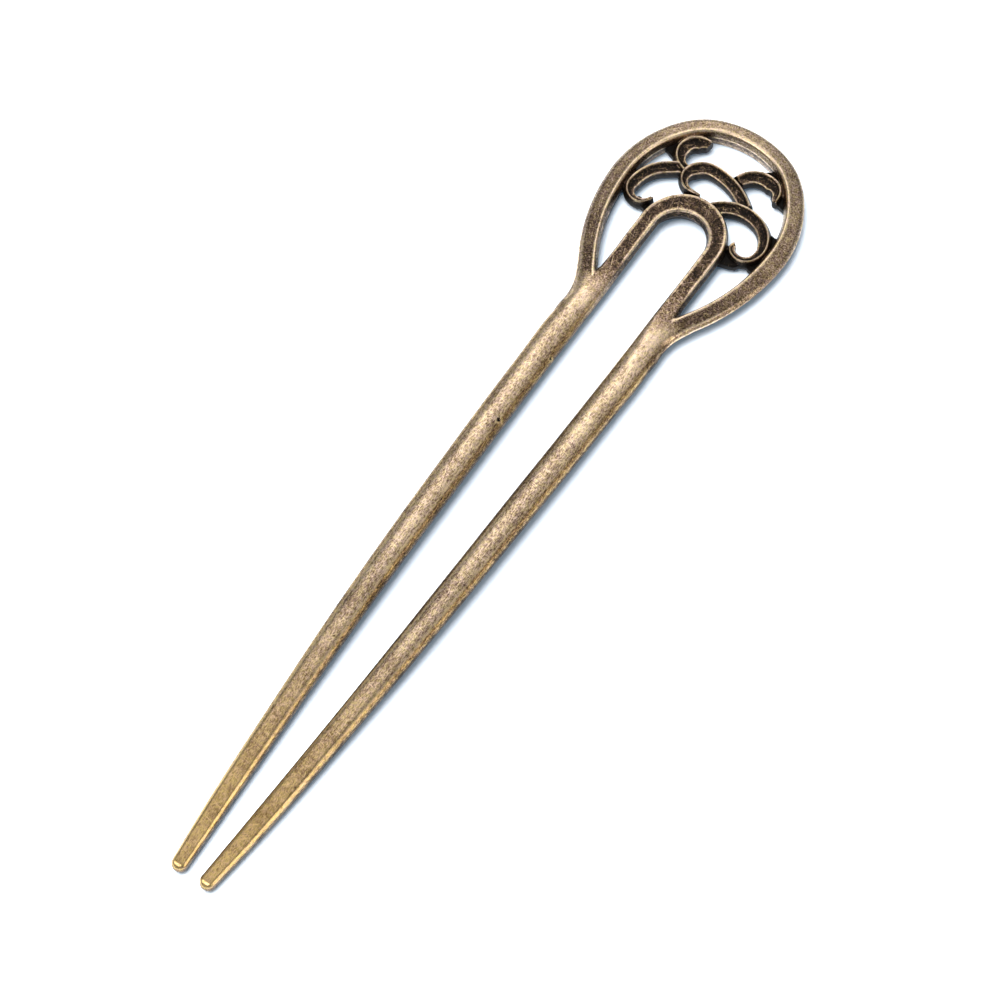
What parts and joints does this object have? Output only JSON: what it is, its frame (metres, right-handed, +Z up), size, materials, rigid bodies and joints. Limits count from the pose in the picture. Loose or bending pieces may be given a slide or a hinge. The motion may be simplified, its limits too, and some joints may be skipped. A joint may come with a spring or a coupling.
{
  "type": "hair fork",
  "caption": "Metal hair fork with long tapering prongs and an openwork head of curled scrolls inside a ring, cast in antique bronze colour.",
  "frame": {"origin": "on the surface that the fork lies on, under the middle of its length and of its width", "axes": "+Y along the prongs from their tips to the head, +X across the prongs, +Z up out of the top face"},
  "size_m": [0.0266, 0.125, 0.0037],
  "materials": {
    "bronze": "antique bronze, dark in the recesses and polished gold on the rims"
  },
  "bodies": {
    "root": {"fork": "bronze"}
  },
  "joints": []
}
